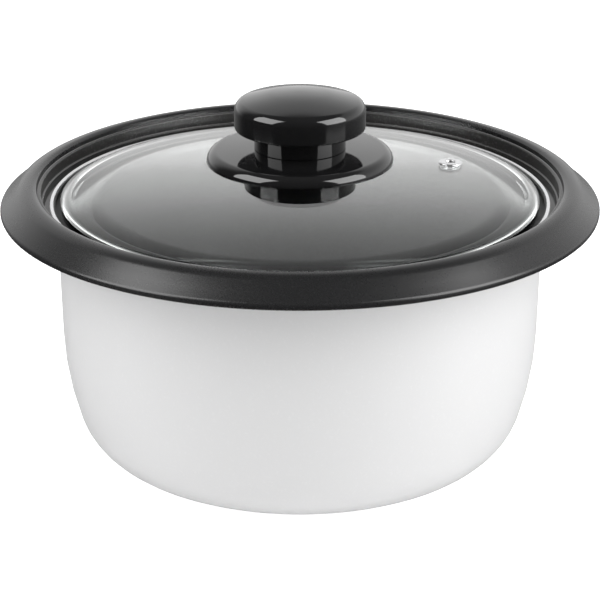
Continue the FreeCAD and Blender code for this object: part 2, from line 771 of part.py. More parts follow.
def make_control_pod():
    height = "(pod_high - pod_low)"
    blank = block("pod_blank", "2 * pod_half_width", "50", height, "0", "pod_face - 50",
                  "pod_low")
    face = worth("pod_face")
    outside = round_edges("pod_rounded", blank, "pod_round",
                          lambda edge: edge.CenterOfMass.y > face - 26
                          and abs(edge.CenterOfMass.x) > 40)
    softened = round_edges("pod_softened", outside, "1.5",
                           lambda edge: edge.CenterOfMass.y > face - 0.01)
    hollow = block("pod_hollow", "2 * (pod_half_width - pod_wall)", "60",
                   height + " - 2 * pod_wall", "0", "pod_face - pod_wall - 60",
                   "pod_low + pod_wall")
    hollow_face = worth("pod_face - pod_wall")
    inside = round_edges("pod_hollow_rounded", hollow, "pod_round - pod_wall",
                         lambda edge: edge.CenterOfMass.y > hollow_face - 31
                         and abs(edge.CenterOfMass.x) > 40)
    bowl = bowl_solid("pod_bowl_cutter", "0 - 0.2", "pod_high + 20")
    bushing_hole = rod("pod_bushing_hole", "spindle_radius + 1.6", "20", "selector_across",
                       "pod_face - 10", "selector_up", BACKWARDS)
    lamp_hole = rod("pod_lamp_hole", "lens_radius", "20", "0 - 2", "pod_face - 10", "lamp_up",
                    BACKWARDS)
    inlet_hole = block("pod_inlet_hole", "inlet_width", "20", "inlet_height",
                       "0 - inlet_across", "pod_face - 10", "inlet_up - inlet_height / 2")
    keep(less("control_pod", softened, [inside, bowl, bushing_hole, lamp_hole, inlet_hole]),
         "control_pod")


def make_switch():
    inner_face = "(pod_face - pod_wall)"
    case = block("switch_case", "switch_size", inner_face + " - switch_back", "switch_size",
                 "selector_across", "switch_back", "selector_up - switch_size / 2")
    bushing = rod("switch_bushing", "spindle_radius + 1.5", "pod_wall + 3", "selector_across",
                  inner_face, "selector_up", BACKWARDS)
    bore = rod("switch_bore", "spindle_radius + 0.05", "20", "selector_across",
               inner_face + " - 5", "selector_up", BACKWARDS)
    keep(less("rotary_switch", joined("switch_solid", [case, bushing]), [bore]),
         "rotary_switch")
    nut = hexagon("switch_nut_blank", "spindle_radius + 3.6", "0", "2")
    nut_bore = rod("switch_nut_bore", "spindle_radius + 1.55", "6", "0", "0", "0 - 1")
    doc.recompute()
    collar_nut = less("switch_nut", nut, [nut_bore])
    placed(collar_nut, "selector_across", "pod_face", "selector_up", BACKWARDS)
    keep(collar_nut, "switch_nut")


def make_selector():
    back = "(pod_face + 0.4)"
    spindle = turned("switch_spindle", [
        ("0", "0"),
        ("spindle_radius", "0"),
        ("spindle_radius", "dial_front - 2.5 - (pod_face - pod_wall - 4.5)"),
        ("0", "dial_front - 2.5 - (pod_face - pod_wall - 4.5)"),
    ])
    placed(spindle, "selector_across", "pod_face - pod_wall - 4.5", "selector_up", BACKWARDS)
    keep(spindle, "switch_spindle")
    length = "(dial_front - %s)" % back
    dial = turned("dial_turned", [
        ("spindle_radius + 4.6", "0"),
        ("dial_radius - 0.4", "0"),
        ("dial_radius", "0.4"),
        ("dial_radius - 1.2", length + " - 1.5", LEFT, "1.5"),
        ("dial_radius - 2.7", length),
        ("0", length),
        ("0", length + " - 2.4"),
        ("spindle_radius + 0.02", length + " - 2.4"),
        ("spindle_radius + 0.02", "3.4"),
        ("spindle_radius + 4.6", "3.4"),
    ])
    placed(dial, "selector_across", back, "selector_up", BACKWARDS)
    slot = block("pointer_slot", "1.6", "1.4", "dial_radius - 5", "selector_across",
                 "dial_front - 0.6", "selector_up + 2")
    keep(less("selector_knob", dial, [slot]), "selector_knob")
    keep(block("selector_pointer", "1.5", "0.8", "dial_radius - 5.1", "selector_across",
               "dial_front - 0.6", "selector_up + 2.05"), "selector_pointer")


def make_pilot_lamp():
    inner_face = "(pod_face - pod_wall)"
    lens = turned("pilot_lens", [
        ("0", "0"),
        ("lens_radius - 0.1", "0"),
        ("lens_radius - 0.1", "pod_wall"),
        ("lens_radius + 0.8", "pod_wall"),
        ("lens_radius + 0.8", "pod_wall + 0.8"),
        ("lens_radius - 0.6", "pod_wall + 1.8"),
        ("0", "pod_wall + 1.8"),
    ])
    placed(lens, "0 - 2", inner_face, "lamp_up", BACKWARDS)
    keep(lens, "pilot_lens")
    lamp = rod("pilot_lamp", "lens_radius - 0.8", "8", "0 - 2", inner_face + " - 8.2", "lamp_up",
               BACKWARDS)
    keep(lamp, "pilot_lamp")


def make_inlet():
    centre = "(0 - inlet_across)"
    low = "(inlet_up - inlet_height / 2)"
    body = block("inlet_body", "inlet_width - 0.2", "pod_face - inlet_back",
                 "inlet_height - 0.2", centre, "inlet_back", low + " + 0.1")
    frame = block("inlet_frame", "inlet_width + 3.6", "1.5", "inlet_height + 3.6", centre,
                  "pod_face", low + " - 1.8")
    socket = block("inlet_socket", "socket_width", "socket_depth + 1", "socket_height", centre,
                   "pod_face + 1.5 - socket_depth", "inlet_up - socket_height / 2")
    middle_up = worth("inlet_up")
    chamfered = doc.addObject("Part::Chamfer", "inlet_socket_cut")
    doc.recompute()
    chamfered.Base = socket
    corners = [n for n, edge in enumerate(socket.Shape.Edges, start=1)
               if edge.CenterOfMass.z > middle_up + 1 and edge.BoundBox.YLength > 5]
    chamfered.Edges = [(n, 4.0, 4.0) for n in corners]
    places = ((7.0, -1.5), (-7.0, -1.5), (0.0, 2.5))
    pins = []
    slots = []
    for number, (across, up) in enumerate(places, start=1):
        middle = "%s + (%g)" % (centre, across)
        pins.append(block("inlet_pin_%d" % number, "2", "socket_depth + 6", "4", middle,
                          "inlet_back - 3.6", "inlet_up + (%g) - 2" % up))
        slots.append(block("inlet_pin_slot_%d" % number, "2.1", "20", "4.1", middle,
                           "inlet_back - 5", "inlet_up + (%g) - 2.05" % up))
    keep(less("power_inlet", joined("inlet_moulding", [body, frame]), [chamfered] + slots),
         "power_inlet")
    keep(group("inlet_pins", pins), "inlet_pins")


# ---------------------------------------------------------------- wiring under the well

def make_terminal_block():
    case = block("terminal_case", "30", "14", "12", "0", "40", "base_level + 4")
    holes = [rod("terminal_hole_%d" % n, "1.6", "20", "%g" % across, "37", "base_level + 10",
                 BACKWARDS) for n, across in enumerate((-10.5, -3.5, 3.5, 10.5), start=1)]
    keep(less("terminal_block", case, holes), "terminal_block")
    post = block("terminal_post", "26", "5", "4 - housing_wall - plate_thick", "0", "48.6",
                 "base_level + housing_wall + plate_thick")
    slot = block("terminal_post_slot", "18", "2", "10", "0", "50", "base_level")
    keep(less("terminal_bracket", post, [slot]), "terminal_bracket")


def make_thermal_fuse():
    axis_up = "(well_floor - well_wall - 3.0)"
    keep(rod("thermal_fuse", "2.0", "11", "24", "12", axis_up, BACKWARDS), "thermal_fuse")
    strap = block("fuse_strap", "7", "6", "5.6", "24", "14.5", axis_up + " - 2.7")
    bore = rod("fuse_strap_bore", "2.1", "20", "24", "8", axis_up, BACKWARDS)
    keep(less("fuse_clip", strap, [bore]), "fuse_clip")


def routed_wire(label, route):
    """Round wire along straight runs that large tangent arcs join."""
    points = [FreeCAD.Vector(*point) for point in route]
    edges = []
    start = points[0]
    for before, corner, after in zip(points, points[1:], points[2:]):
        arrive = (corner - before)
        leave = (after - corner)
        turn = arrive.getAngle(leave)
        share = 0.45 * min(arrive.Length, leave.Length)
        radius = share / math.tan(turn / 2)
        arrive.normalize()
        leave.normalize()
        first = corner - arrive * share
        last = corner + leave * share
        inward = (leave - arrive).normalize()
        centre = corner + inward * (radius / math.cos(turn / 2))
        middle = centre - inward * radius
        edges.append(Part.LineSegment(start, first).toShape())
        edges.append(Part.Arc(first, middle, last).toShape())
        start = last
        print("%s bend radius %.1f" % (label, radius))
    edges.append(Part.LineSegment(start, points[-1]).toShape())
    path = Part.Wire(edges)
    size = worth("wire_radius")
    ring = Part.Circle(points[0], points[1] - points[0], size).toShape()
    shape = path.makePipeShell([Part.Wire([ring])], True, True)
    expected = math.pi * size ** 2 * path.Length
    if abs(shape.Volume - expected) > 0.02 * expected:
        raise RuntimeError("wrong volume in " + label)
    wire = doc.addObject("Part::Feature", label)
    wire.Shape = shape
    keep(wire, label)


def make_wires():
    block_back = 54.4
    block_front = 39.6
    block_up = worth("base_level + 10")
    pin_back = worth("inlet_back") - 4.4
    up = worth("inlet_up")
    routed_wire("neutral_wire", [(-31, pin_back, up - 1.5), (-31, 83, 25), (-24, 72, 14),
                                 (-13, 64, 11), (-10.5, block_back, block_up)])
    routed_wire("live_wire", [(-17, pin_back, up - 1.5), (-17, 82, 24), (-10, 72, 15),
                              (-4.5, 63, 12), (-3.5, block_back, block_up)])
    routed_wire("low_heat_wire", [(18, 92.3, 33), (17, 86, 26), (10, 74, 15.5),
                                  (4.5, 64, 12.5), (3.5, block_back, block_up)])
    routed_wire("high_heat_wire", [(26, 92.3, 33), (26, 86, 25), (20, 74, 14.5),
                                   (12, 65, 12), (10.5, block_back, block_up)])
    routed_wire("fuse_wire", [(10.5, block_front, block_up), (11.5, 31, 12.5), (18, 18, 17),
                              (23, 4, 20), (24, 0, 22)])


def make_earth():
    keep(screw_down("earth_screw", "2.4", "base_level + housing_wall + plate_thick", "1.0",
                    ("0 - 34", "20")), "earth_screw")


def screw_down(label, head_radius, seat, head_height, place):
    piece = turned(label, [
        ("0", "0.05"),
        (head_radius, "0.05"),
        (head_radius, head_height + " + 0.05"),
        (head_radius + " - 0.6", head_height + " + 0.65"),
        ("0", head_height + " + 0.65"),
    ])
    return placed(piece, place[0], place[1], seat)


make_outer_housing()
make_support_ring()
make_rim_collar()
make_heat_well()
make_heater()
make_blanket()
make_base()
make_cooking_pot()
make_lid_glass()
make_lid_band()
make_vent_grommet()
make_knob()
make_control_pod()
make_switch()
make_selector()
make_pilot_lamp()
make_inlet()
make_terminal_block()
make_thermal_fuse()
make_wires()
make_earth()
doc.recompute()

for item in doc.Objects:
    if "Invalid" in item.State or "Error" in item.State:
        raise RuntimeError("%s did not build" % item.Label)
for piece in subparts:
    if piece.Shape.isNull() or not piece.Shape.isValid():
        raise RuntimeError("%s has no valid shape" % piece.Label)

os.makedirs("parts", exist_ok=True)
for piece in subparts:
    piece.Shape.exportStep("parts/%s.step" % piece.Label)
print("%d sub-parts written" % len(subparts))
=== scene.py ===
import json
import math

import bpy
from bpy.props import FloatProperty, FloatVectorProperty, IntProperty, PointerProperty
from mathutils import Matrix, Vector

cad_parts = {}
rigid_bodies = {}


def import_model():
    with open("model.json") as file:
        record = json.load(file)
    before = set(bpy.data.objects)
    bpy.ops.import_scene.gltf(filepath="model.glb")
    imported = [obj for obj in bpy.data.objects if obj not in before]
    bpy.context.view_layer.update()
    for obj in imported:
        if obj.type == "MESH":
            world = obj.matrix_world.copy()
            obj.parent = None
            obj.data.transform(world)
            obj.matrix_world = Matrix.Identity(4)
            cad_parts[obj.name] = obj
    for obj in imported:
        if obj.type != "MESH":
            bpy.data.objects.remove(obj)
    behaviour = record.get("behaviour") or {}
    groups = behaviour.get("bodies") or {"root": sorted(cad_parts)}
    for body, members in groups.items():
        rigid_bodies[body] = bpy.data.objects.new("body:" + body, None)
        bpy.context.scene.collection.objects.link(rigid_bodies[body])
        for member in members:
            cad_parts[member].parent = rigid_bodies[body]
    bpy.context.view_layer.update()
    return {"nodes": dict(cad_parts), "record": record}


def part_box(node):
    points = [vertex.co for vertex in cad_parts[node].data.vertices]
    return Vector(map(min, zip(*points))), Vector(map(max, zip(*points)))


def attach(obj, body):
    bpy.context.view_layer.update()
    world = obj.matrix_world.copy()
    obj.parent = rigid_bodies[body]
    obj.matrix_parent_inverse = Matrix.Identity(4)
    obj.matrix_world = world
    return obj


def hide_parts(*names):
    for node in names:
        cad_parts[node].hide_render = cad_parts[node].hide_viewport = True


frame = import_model()

bl_info = {
    "name": "Slow Cooker",
    "version": (1, 0, 0),
    "blender": (4, 5, 0),
    "location": "View3D > Sidebar > Slow Cooker",
    "description": "Models the shown pieces of a small slow cooker round its packed frame",
    "category": "Object",
}

MM = 0.001
# Ways that an arc can turn from one corner to the next, and the mark of a rounded corner
LEFT = 1
RIGHT = -1
ROUND = 2

# Places read from the frame
COLLAR_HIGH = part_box("rim_collar")[1]
RING_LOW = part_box("support_ring")[0]
HOUSING_LOW, HOUSING_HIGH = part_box("outer_housing")
POT_LOW, POT_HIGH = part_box("cooking_pot")
GLASS_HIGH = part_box("lid_glass")[1]
BAND_LOW, BAND_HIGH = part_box("lid_band")
GRIP_LOW, GRIP_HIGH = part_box("knob_grip")
GUARD_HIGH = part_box("knob_guard")[1]
VENT_LOW, VENT_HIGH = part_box("vent_grommet")
POD_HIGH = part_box("control_pod")[1]
DIAL_LOW, DIAL_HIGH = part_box("selector_knob")

# The lid's glass, whose slope the vent eyelet follows: its thickness, the radius of its dome,
# and its top above the brim's lowest edge
GLASS_THICK = 3.4 * MM
GLASS_DOME = 2250.0 * MM
GLASS_TOP = 7.7 * MM
# Places of the dial's marks after the first, in degrees clockwise from straight up
DIAL_ANGLES = (45.0, 90.0, 135.0)

# Light from round about, as (sine of elevation, share of the peak); the glass has its own
WORLD_PEAK = 2.5
BACK_STOPS = ((0.0, 0.56), (1.0, 0.08), (0.33, 0.545), (0.46, 0.46), (0.58, 0.39),
              (0.70, 0.34), (0.74, 0.26), (0.78, 0.12))
GLASS_STOPS = ((0.0, 0.3), (1.0, 0.02), (0.15, 0.6), (0.22, 1.0), (0.26, 0.89), (0.289, 0.67),
               (0.316, 0.545), (0.341, 0.40), (0.364, 0.30), (0.387, 0.225), (0.42, 0.16),
               (0.5, 0.09))
FRONT_STOPS = ((0.0, 0.05), (1.0, 0.08), (0.3, 0.05), (0.6, 0.06))
# How far the bright side turns towards +X, and half the width over which it fades
BRIGHT_SIDE = 0.8
BRIGHT_FADE = 0.35
# Light that the floor gives off itself, as if lit from below
FLOOR_GLOW = 0.7
# Name, place, width and height, power in watts
SOFTBOXES = (
    ("left_softbox", (-0.98, -0.40, 0.86), (0.95, 1.1), 18.0),
    ("right_softbox", (1.0, -0.45, 0.74), (0.95, 1.1), 18.0),
)
# Point that the softboxes face
LIT_POINT = Vector((0.0, 0.0, 0.09))
# Pieces that the lid's glass doesn't mirror
UNMIRRORED = ("brim_ring", "pot_bowl", "steel_band", "vent_eyelet")
# Pieces that only show inside the knob when the glass mirrors it
HIDDEN_IN_KNOB = ("knob_screw", "knob_insert")


def length(name, description, default):
    """A length that a user may change, in metres."""
    return FloatProperty(name=name, description=description, default=default,
                         unit="LENGTH", subtype="DISTANCE")


def colour(name, description, default):
    """A linear colour that a user may change."""
    return FloatVectorProperty(name=name, description=description, default=default,
                               subtype="COLOR", size=3, min=0.0, max=1.0)


class CookerSizes(bpy.types.PropertyGroup):
    """Sizes of the shown pieces, taken from the frame"""

    crest_height: length("Crest height", "Top of the brim above its lowest edge", 11.0 * MM)
    brim_radius: length("Brim radius", "Outermost radius of the brim", COLLAR_HIGH.x)
    collar_bore: length("Collar bore", "Radius of the hole that takes the pot", 105.5 * MM)
    pot_radius: length("Pot radius", "Outer radius of the pot's wall", 86.2 * MM)
    pot_rim_radius: length("Pot rim radius", "Outer radius of the pot's rim", POT_HIGH.x)
    glass_radius: length("Glass radius", "Outer radius of the lid's glass", GLASS_HIGH.x)
    band_radius: length("Band radius", "Outer radius of the lid's steel band", BAND_HIGH.x)
    guard_radius: length("Guard radius", "Outer radius of the finger guard", GUARD_HIGH.x)
    cap_radius: length("Cap radius", "Outer radius of the knob's cap", GRIP_HIGH.x)
    dial_radius: length("Dial radius", "Outer radius of the selector", 15.0 * MM)
    turns: IntProperty(name="Facets", description="Faces round a large turned piece",
                       default=192, min=24, max=512)


class CookerFinishes(bpy.types.PropertyGroup):
    """Colours of the cooker's finishes"""

    paint: colour("Body paint", "Satin paint of the body", (0.57, 0.57, 0.573))
    brim: colour("Brim plastic", "Satin black of the brim", (0.009, 0.009, 0.0094))
    coating: colour("Pot coating", "Non-stick coating", (0.016, 0.0155, 0.015))
    knob: colour("Knob plastic", "Mirror-gloss black of the knob", (0.004, 0.004, 0.0042))
    steel: colour("Polished steel", "Lid band and eyelet", (0.78, 0.78, 0.79))
    floor: colour("Floor", "Plain pale floor", (0.86, 0.86, 0.86))


def sizes():
    return bpy.context.scene.cooker_sizes


def finishes():
    return bpy.context.scene.cooker_finishes


def lip_level():
    """Height of the brim's lowest edge above the surface."""
    return COLLAR_HIGH.z - sizes().crest_height


def glass_height(across, radius=GLASS_DOME):
    """Height of a domed face of the lid's glass at a distance from the axis."""
    return lip_level() + GLASS_TOP - GLASS_DOME + math.sqrt(radius ** 2 - across ** 2)


# ---------------------------------------------------------------- turned pieces

def arc_points(start, end, radius, side):
    """Points after start and up to end on an arc that turns LEFT or RIGHT."""
    chord = Vector(end) - Vector(start)
    rise = math.sqrt(max(radius ** 2 - (chord.length / 2) ** 2, 0.0))
    leftward = Vector((-chord.y, chord.x)).normalized()
    centre = (Vector(start) + Vector(end)) / 2 + leftward * rise * side
    first = math.atan2(start[1] - centre.y, start[0] - centre.x)
    last = math.atan2(end[1] - centre.y, end[0] - centre.x)
    sweep = (last - first) * side % math.tau
    count = max(2, math.ceil(math.degrees(sweep) / 9.0), math.ceil(radius * sweep / (12 * MM)))
    steps = [first + side * sweep * n / count for n in range(1, count)]
    return [(centre.x + radius * math.cos(a), centre.y + radius * math.sin(a)) for a in steps]


def rounded_corner(before, corner, after, radius):
    """Start and end of the arc that rounds a corner, and the way that it turns."""
    arrive = (Vector(corner) - Vector(before)).normalized()
    leave = (Vector(after) - Vector(corner)).normalized()
    turn = arrive.angle(leave)
    reach = radius * math.tan(turn / 2)
    side = LEFT if arrive.x * leave.y - arrive.y * leave.x > 0 else RIGHT
    return tuple(Vector(corner) - arrive * reach), tuple(Vector(corner) + leave * reach), side


def outline_points(corners, closed):
    """Points of a half section. A corner is (radius, height). With ROUND and a radius it is
    rounded, and with LEFT or RIGHT and a radius an arc leads on to the next corner."""
    points = []
    count = len(corners)
    for index, corner in enumerate(corners):
        place = (corner[0], corner[1])
        following = corners[(index + 1) % count]
        if len(corner) == 4 and corner[2] == ROUND:
            before = corners[index - 1]
            start, end, side = rounded_corner(before[:2], place, following[:2], corner[3])
            points.append(start)
            points += arc_points(start, end, corner[3], side)
            points.append(end)
            continue
        points.append(place)
        last = index == count - 1 and not closed
        if len(corner) == 4 and not last:
            points += arc_points(place, following[:2], corner[3], corner[2])
    return points


def pick_nothing():
    bpy.ops.object.select_all(action="DESELECT")


def pick(piece):
    """Select one piece alone and make it the active one."""
    pick_nothing()
    piece.select_set(True)
    bpy.context.view_layer.objects.active = piece


def start_piece(name):
    """Object at the origin that holds one vertex, in edit mode."""
    pick_nothing()
    bpy.ops.mesh.primitive_plane_add(size=MM, location=(0, 0, 0))
    piece = bpy.context.object
    piece.name = name
    piece.data.name = name
    bpy.ops.object.mode_set(mode="EDIT")
    bpy.ops.mesh.select_mode(type="VERT")
    bpy.ops.mesh.select_all(action="SELECT")
    bpy.ops.mesh.merge(type="CENTER")
    return piece


def turned(name, corners, closed=True, facets=None, crease=32.0):
    """Piece turned about the Z axis: its half section is drawn by extruding one vertex from
    point to point, and then spun. Edges sharper than the crease, in degrees, stay sharp."""
    piece = start_piece(name)
    points = outline_points(corners, closed)
    here = Vector((0.0, 0.0, 0.0))
    for number, (radius, height) in enumerate(points):
        there = Vector((radius, 0.0, height))
        if number == 0:
            bpy.ops.transform.translate(value=there)
        else:
            bpy.ops.mesh.extrude_region_move(
                TRANSFORM_OT_translate={"value": there - here})
        here = there
    bpy.ops.mesh.select_all(action="DESELECT")
    if closed:
        bpy.ops.object.mode_set(mode="OBJECT")
        for vertex in (piece.data.vertices[0], piece.data.vertices[-1]):
            vertex.select = True
        bpy.ops.object.mode_set(mode="EDIT")
        bpy.ops.mesh.edge_face_add()
    bpy.ops.mesh.select_all(action="SELECT")
    bpy.ops.mesh.spin(steps=facets or sizes().turns, angle=math.tau, center=(0, 0, 0),
                      axis=(0, 0, 1))
    finish_mesh(crease)
    return piece


def finish_mesh(crease):
    """Merge doubles, point the faces outwards, and smooth all but sharp edges."""
    bpy.ops.mesh.select_all(action="SELECT")
    bpy.ops.mesh.remove_doubles(threshold=MM / 200)
    bpy.ops.mesh.normals_make_consistent(inside=False)
    bpy.ops.mesh.select_all(action="DESELECT")
    bpy.ops.object.mode_set(mode="OBJECT")
    bpy.ops.object.shade_smooth_by_angle(angle=math.radians(crease))


def edit_all(piece):
    """Open a piece in edit mode with everything selected."""
    pick(piece)
    bpy.ops.object.mode_set(mode="EDIT")
    bpy.ops.mesh.select_mode(type="VERT")
    bpy.ops.mesh.select_all(action="SELECT")


def close_edit():
    bpy.ops.object.mode_set(mode="OBJECT")


def turn_about(axis, angle):
    """Turn what is selected about an axis through the origin. With no window the operator turns
    the other way, so a positive angle is clockwise as seen from the axis's positive end."""
    bpy.ops.transform.rotate(value=angle, orient_axis=axis, center_override=(0, 0, 0))


def dress(piece, body, slot, materials, *nodes):
    """Give a piece its materials and its body, and hide the nodes that it stands for. The
    record slot is not used.
    """
    piece.data.materials.clear()
    for material in materials:
        piece.data.materials.append(material)
    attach(piece, body)
    if nodes:
        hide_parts(*nodes)


# ---------------------------------------------------------------- materials

def add_noise(nodes, links, place, scale, detail):
    """Noise texture laid out on the given coordinates."""
    noise = nodes.new("ShaderNodeTexNoise")
    noise.inputs["Scale"].default_value = scale
    noise.inputs["Detail"].default_value = detail
    links.new(place, noise.inputs["Vector"])
    return noise


def add_range(nodes, links, value, taken, given=(0.0, 1.0)):
    """Map Range node that turns one span of values into another."""
    spread = nodes.new("ShaderNodeMapRange")
    for label, level in zip(("From Min", "From Max", "To Min", "To Max"), (*taken, *given)):
        spread.inputs[label].default_value = level
    links.new(value, spread.inputs["Value"])
    return spread


def add_bump(nodes, links, height, depth, shader):
    """Bump of a given depth on a shader."""
    bump = nodes.new("ShaderNodeBump")
    bump.inputs["Strength"].default_value = 1.0
    bump.inputs["Distance"].default_value = depth
    links.new(height, bump.inputs["Height"])
    links.new(bump.outputs["Normal"], shader.inputs["Normal"])


def add_tones(nodes, links, share, first, second, shader):
    """Base colour of a shader that varies between two colours."""
    tone = nodes.new("ShaderNodeMix")
    tone.data_type = "RGBA"
    tone.inputs["A"].default_value = (*first, 1.0)
    tone.inputs["B"].default_value = (*second, 1.0)
    links.new(share, tone.inputs["Factor"])
    links.new(tone.outputs["Result"], shader.inputs["Base Color"])


def add_switch(nodes, links, share, usual, other, surface):
    """Surface that shows its usual shader, and another to one kind of ray."""
    mix = nodes.new("ShaderNodeMixShader")
    links.new(share, mix.inputs["Fac"])
    links.new(usual, mix.inputs[1])
    links.new(other, mix.inputs[2])
    links.new(mix.outputs["Shader"], surface)


def new_group(name, inputs, outputs):
    """Empty shader group with named sockets: inputs are (name, kind, default)."""
    group = bpy.data.node_groups.new(name, "ShaderNodeTree")
    for label, kind, default in inputs:
        socket = group.interface.new_socket(label, in_out="INPUT", socket_type=kind)
        if default is not None:
            socket.default_value = default
    for label, kind in outputs:
        group.interface.new_socket(label, in_out="OUTPUT", socket_type=kind)
    return group, group.nodes.new("NodeGroupInput"), group.nodes.new("NodeGroupOutput")


def grain_group():
    """Fine moulded or painted grain: a speckled height and a roughness that varies with it."""
    if "fine_grain" in bpy.data.node_groups:
        return bpy.data.node_groups["fine_grain"]
    group, given, made = new_group(
        "fine_grain",
        (("Vector", "NodeSocketVector", None), ("Grain Scale", "NodeSocketFloat", 1500.0),
         ("Roughness", "NodeSocketFloat", 0.4), ("Variation", "NodeSocketFloat", 0.1)),
        (("Height", "NodeSocketFloat"), ("Roughness", "NodeSocketFloat"),
         ("Speckle", "NodeSocketFloat")))
    nodes, links = group.nodes, group.links
    fine = add_noise(nodes, links, given.outputs["Vector"], 1500.0, 3.0)
    links.new(given.outputs["Grain Scale"], fine.inputs["Scale"])
    broad = add_noise(nodes, links, given.outputs["Vector"], 22.0, 4.0)
    speckle = add_range(nodes, links, fine.outputs["Fac"], (0.56, 0.74))
    both = nodes.new("ShaderNodeMath")
    both.operation = "ADD"
    links.new(fine.outputs["Fac"], both.inputs[0])
    links.new(broad.outputs["Fac"], both.inputs[1])
    centred = nodes.new("ShaderNodeMath")
    centred.operation = "SUBTRACT"
    links.new(both.outputs["Value"], centred.inputs[0])
    centred.inputs[1].default_value = 1.0
    rough = nodes.new("ShaderNodeMath")
    rough.operation = "MULTIPLY_ADD"
    links.new(centred.outputs["Value"], rough.inputs[0])
    links.new(given.outputs["Variation"], rough.inputs[1])
    links.new(given.outputs["Roughness"], rough.inputs[2])
    links.new(fine.outputs["Fac"], made.inputs["Height"])
    links.new(rough.outputs["Value"], made.inputs["Roughness"])
    links.new(speckle.outputs["Result"], made.inputs["Speckle"])
    return group


def new_material(name):
    """Material with a Principled shader, and Object coordinates to hang patterns on."""
    material = bpy.data.materials.new(name)
    material.use_nodes = True
    nodes = material.node_tree.nodes
    shader = nodes["Principled BSDF"]
    coordinates = nodes.new("ShaderNodeTexCoord")
    return material, nodes, material.node_tree.links, shader, coordinates.outputs["Object"]


def grained(name, base, roughness, variation, scale, depth, speckle, metallic=0.0, coat=0.0,
            specular=0.5):
    """Solid material with fine grain: paint, moulded plastic, coating, rubber or metal. Its
    depth is in millimetres."""
    material, nodes, links, shader, place = new_material(name)
    shader.inputs["Metallic"].default_value = metallic
    shader.inputs["Specular IOR Level"].default_value = specular
    shader.inputs["Coat Weight"].default_value = coat
    shader.inputs["Coat Roughness"].default_value = 0.12
    grain = nodes.new("ShaderNodeGroup")
    grain.node_tree = grain_group()
    grain.inputs["Grain Scale"].default_value = scale
    grain.inputs["Roughness"].default_value = roughness
    grain.inputs["Variation"].default_value = variation
    links.new(place, grain.inputs["Vector"])
    links.new(grain.outputs["Roughness"], shader.inputs["Roughness"])
    add_bump(nodes, links, grain.outputs["Height"], depth * MM, shader)
    light = [min(1.0, value + speckle) for value in base]
    add_tones(nodes, links, grain.outputs["Speckle"], base, light, shader)
    return material


def gloss_black():
    """Mirror-gloss moulded black with a very slight unevenness and faint smears."""
    material, nodes, links, shader, place = new_material("knob_gloss")
    shader.inputs["IOR"].default_value = 1.55
    wave = add_noise(nodes, links, place, 40.0, 1.0)
    add_bump(nodes, links, wave.outputs["Fac"], 0.03 * MM, shader)
    smear = add_noise(nodes, links, place, 90.0, 6.0)
    rough = add_range(nodes, links, smear.outputs["Fac"], (0.35, 0.75), (0.035, 0.09))
    links.new(rough.outputs["Result"], shader.inputs["Roughness"])
    base = finishes().knob
    light = [value * 1.8 for value in base]
    add_tones(nodes, links, smear.outputs["Fac"], base, light, shader)
    keep_out_of_glass(material, shader)
    return material


def keep_out_of_glass(material, shader):
    """Let rays that come off the clear glass pass, so that the lid mirrors only the studio."""
    nodes, links = material.node_tree.nodes, material.node_tree.links
    path = nodes.new("ShaderNodeLightPath")
    clear = nodes.new("ShaderNodeBsdfTransparent")
    add_switch(nodes, links, path.outputs["Is Singular Ray"], shader.outputs["BSDF"],
               clear.outputs["BSDF"], nodes["Material Output"].inputs["Surface"])


def polished_steel():
    """Polished steel with faint turning lines round the Z axis."""
    material, nodes, links, shader, place = new_material("polished_steel")
    shader.inputs["Metallic"].default_value = 1.0
    lines = nodes.new("ShaderNodeTexWave")
    lines.wave_type = "RINGS"
    lines.rings_direction = "Z"
    lines.inputs["Scale"].default_value = 900.0
    lines.inputs["Distortion"].default_value = 0.6
    links.new(place, lines.inputs["Vector"])
    rough = add_range(nodes, links, lines.outputs["Fac"], (0.0, 1.0), (0.24, 0.34))
    links.new(rough.outputs["Result"], shader.inputs["Roughness"])
    base = finishes().steel
    dark = [value * 0.9 for value in base]
    add_tones(nodes, links, lines.outputs["Fac"], base, dark, shader)
    return material


def clear_glass():
    """Clear tempered glass with a faint tint that varies a little."""
    material, nodes, links, shader, place = new_material("lid_glass")
    shader.inputs["Transmission Weight"].default_value = 1.0
    shader.inputs["IOR"].default_value = 1.5
    shader.inputs["Roughness"].default_value = 0.0
    smear = add_noise(nodes, links, place, 14.0, 5.0)
    add_tones(nodes, links, smear.outputs["Fac"], (0.965, 0.985, 0.975), (0.94, 0.97, 0.96),
              shader)
    return material


